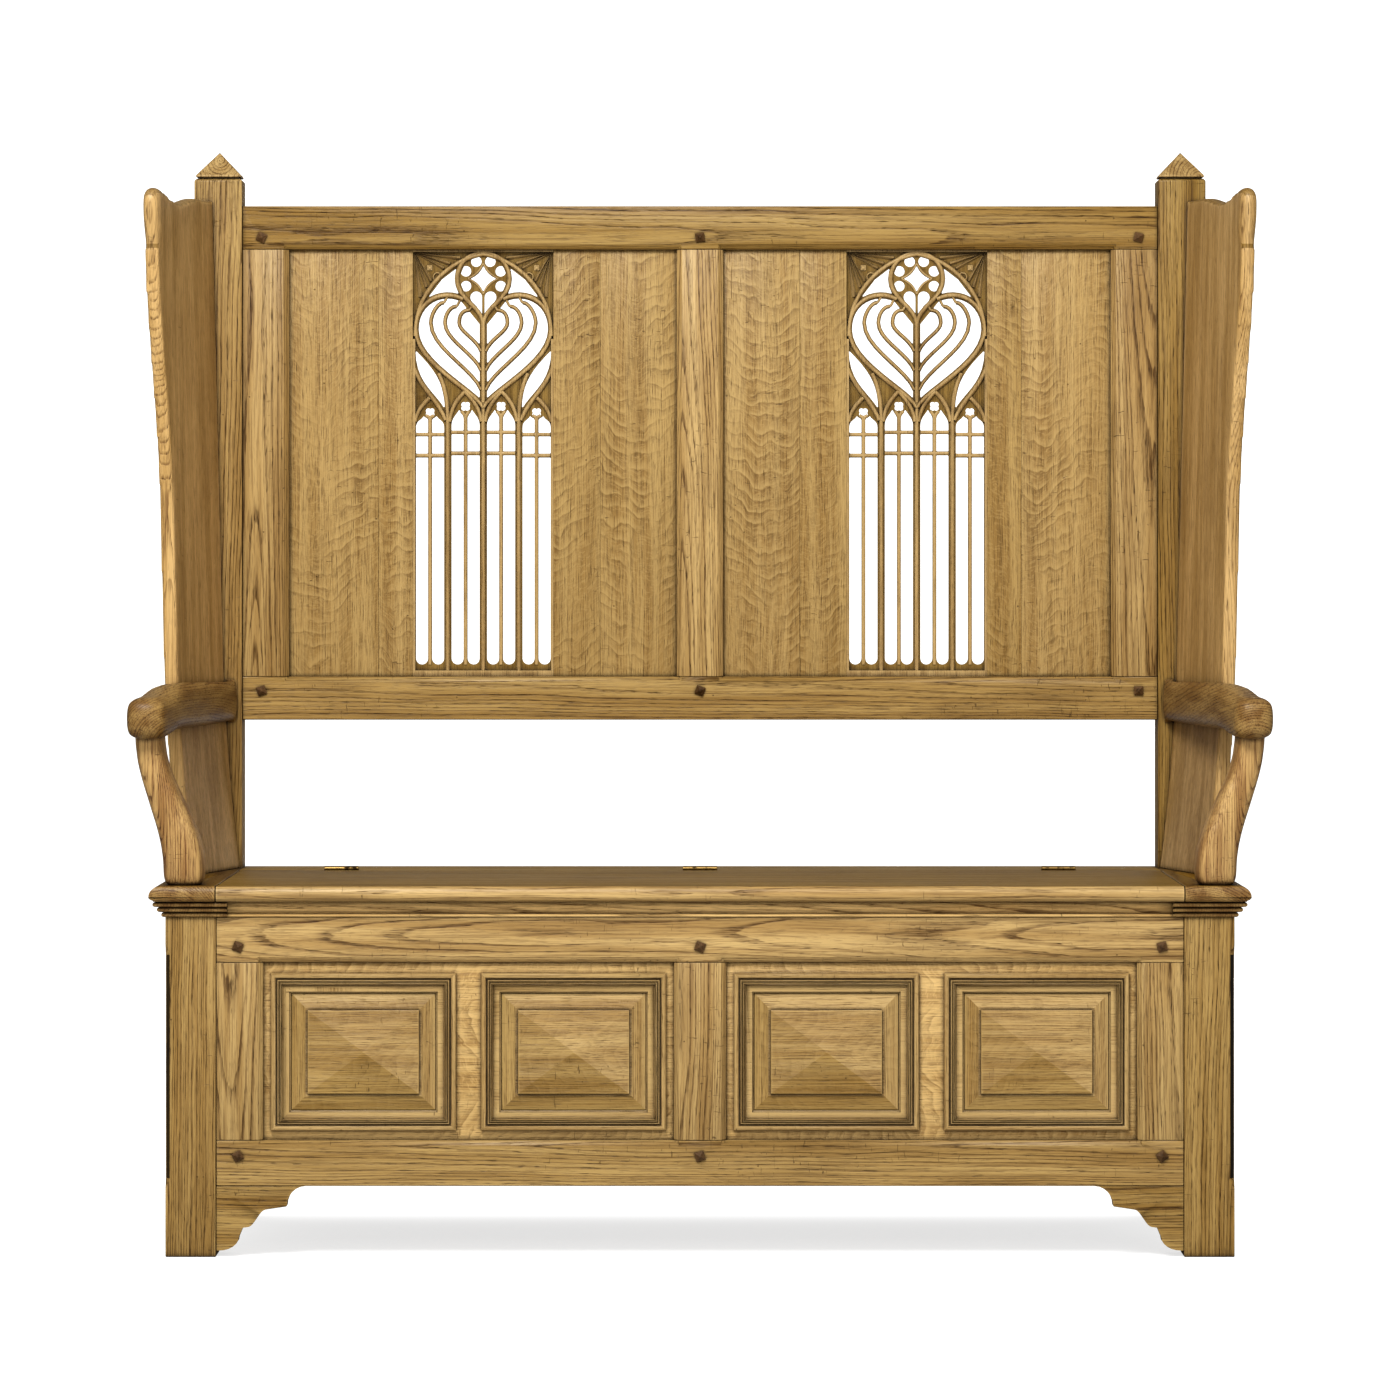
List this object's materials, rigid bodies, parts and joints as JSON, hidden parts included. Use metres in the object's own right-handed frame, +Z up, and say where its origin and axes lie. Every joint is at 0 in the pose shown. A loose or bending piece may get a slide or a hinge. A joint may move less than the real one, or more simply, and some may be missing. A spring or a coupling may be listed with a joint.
{
  "type": "church pew",
  "caption": "High-backed oak settle pew with a lift-up seat lid over a panelled box, shaped wings and arms, and two pierced tracery panels in its framed back.",
  "frame": {"origin": "on the floor, at the middle of the pew's width and depth", "axes": "+X along the seat, to the right as seen by someone facing the pew's front; the front faces -Y; +Z up"},
  "size_m": [1.4526, 0.58, 1.434],
  "materials": {
    "oak_frame": "waxed oak, flat-sawn figure, worn arrises",
    "oak_boards": "waxed oak, quarter-sawn with ray fleck",
    "oak_tracery": "waxed oak, carved, dark in the recesses",
    "oak_fields": "waxed oak, moulded, dark in the corners",
    "oak_seat": "waxed oak, flat-sawn, worn",
    "oak_arms": "darker waxed oak, polished by use",
    "oak_wings": "waxed oak, straight grain",
    "oak_pegs": "dark stained oak",
    "oak_plain": "plain oak, unwaxed",
    "brass": "aged brass"
  },
  "bodies": {
    "base": {"front_leg_left": "oak_frame", "front_leg_right": "oak_frame", "rear_post_left": "oak_frame", "rear_post_right": "oak_frame", "post_cap_left": "oak_frame", "post_cap_right": "oak_frame", "front_top_rail": "oak_frame", "front_bottom_rail": "oak_frame", "front_stile_left": "oak_frame", "front_stile_right": "oak_frame", "front_muntin": "oak_frame", "front_panel_left": "oak_boards", "front_panel_right": "oak_boards", "field_mouldings_left": "oak_fields", "field_mouldings_right": "oak_fields", "raised_field_1": "oak_fields", "raised_field_2": "oak_fields", "raised_field_3": "oak_fields", "raised_field_4": "oak_fields", "front_bracket_left": "oak_frame", "front_bracket_right": "oak_frame", "front_frieze": "oak_frame", "cornice_left": "oak_arms", "cornice_right": "oak_arms", "seat_end_board_left": "oak_arms", "seat_end_board_right": "oak_arms", "side_top_rail_left": "oak_frame", "side_top_rail_right": "oak_frame", "side_bottom_rail_left": "oak_frame", "side_bottom_rail_right": "oak_frame", "side_panel_left": "oak_boards", "side_panel_right": "oak_boards", "seat_rear_board": "oak_seat", "rear_bottom_rail": "oak_frame", "rear_panel": "oak_plain", "floor_boards": "oak_plain", "hinge_fixed_leaves": "brass", "hinge_pins": "brass", "hinge_fixed_screws": "brass", "back_top_rail": "oak_frame", "back_bottom_rail": "oak_frame", "back_stile_left": "oak_frame", "back_stile_right": "oak_frame", "back_muntin": "oak_frame", "back_outer_boards_left": "oak_boards", "back_outer_boards_right": "oak_boards", "back_inner_boards_left": "oak_boards", "back_inner_boards_right": "oak_boards", "tracery_left": "oak_tracery", "tracery_right": "oak_tracery", "wing_left": "oak_wings", "wing_right": "oak_wings", "arm_left": "oak_arms", "arm_right": "oak_arms", "arm_support_left": "oak_arms", "arm_support_right": "oak_arms", "pegs": "oak_pegs"},
    "lid": {"seat_lid": "oak_seat", "hinge_moving_leaves": "brass", "hinge_moving_screws": "brass"}
  },
  "joints": [
    {"name": "lid_hinge", "type": "hinge", "parent": "base", "child": "lid", "pos_m": [0, 0.166, 0.474], "axis": [-1, 0, 0], "range_deg": [0, 98]}
  ]
}
